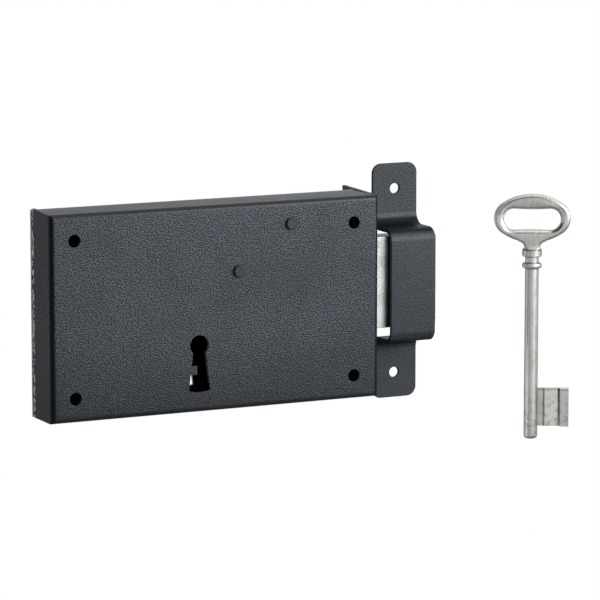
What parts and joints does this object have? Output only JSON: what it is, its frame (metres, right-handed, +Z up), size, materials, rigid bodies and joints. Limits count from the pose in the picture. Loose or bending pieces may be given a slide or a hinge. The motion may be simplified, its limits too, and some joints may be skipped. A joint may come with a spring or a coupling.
{
  "type": "rim box lock",
  "caption": "Rim box lock: folded black steel case with a zinc dead bolt thrown through a strap strike, a lever mechanism inside, and a bit key standing beside it.",
  "frame": {"origin": "centre of the four case screws on the back face, in the plane of the door's surface", "axes": "+X along the bolt as it is thrown, +Y out of the back towards the door, +Z up"},
  "size_m": [0.2296, 0.0307, 0.1154],
  "materials": {
    "powder_black": "fine textured black powder coat",
    "satin_black": "smooth satin black powder coat",
    "zinc_plate": "zinc plated sheet steel",
    "zinc_bolt": "zinc plated steel bolt",
    "mild_steel": "plain stamped steel",
    "spring_steel": "spring steel strip",
    "cast_nickel": "nickel plated casting"
  },
  "bodies": {
    "lock": {"lock_case": "powder_black", "back_plate": "zinc_plate", "back_plate_screws": "zinc_plate", "bolt_guide_post": "zinc_plate", "lever_post": "zinc_plate", "guide_spacer": "zinc_plate", "lever_spacer": "zinc_plate"},
    "bolt": {"bolt_head": "zinc_bolt", "bolt_tail": "mild_steel", "bolt_rivets": "mild_steel", "bolt_stump": "mild_steel"},
    "lever": {"lever": "mild_steel", "lever_spring": "spring_steel"},
    "strike": {"strike": "satin_black"},
    "key": {"key": "cast_nickel"}
  },
  "joints": [
    {"name": "bolt_throw", "type": "slide", "parent": "lock", "child": "bolt", "axis": [-1, 0, 0], "range_m": [0, 0.025]},
    {"name": "lever_lift", "type": "hinge", "parent": "lock", "child": "lever", "pos_m": [0.032, -0.013, 0.0318], "axis": [0, 1, 0], "range_deg": [0, 6], "deforming": ["lever_spring"]},
    {"name": "strike_lift_off", "type": "slide", "parent": "lock", "child": "strike", "axis": [0, -1, 0], "range_m": [0, 0.04]},
    {"name": "key_pick_up", "type": "slide", "parent": "lock", "child": "key", "axis": [0, 0, 1], "range_m": [0, 0.05]}
  ],
  "couplings": [
    {"joint": "lever_lift", "follows": "bolt_throw", "rad_per_m": 4.1888}
  ]
}
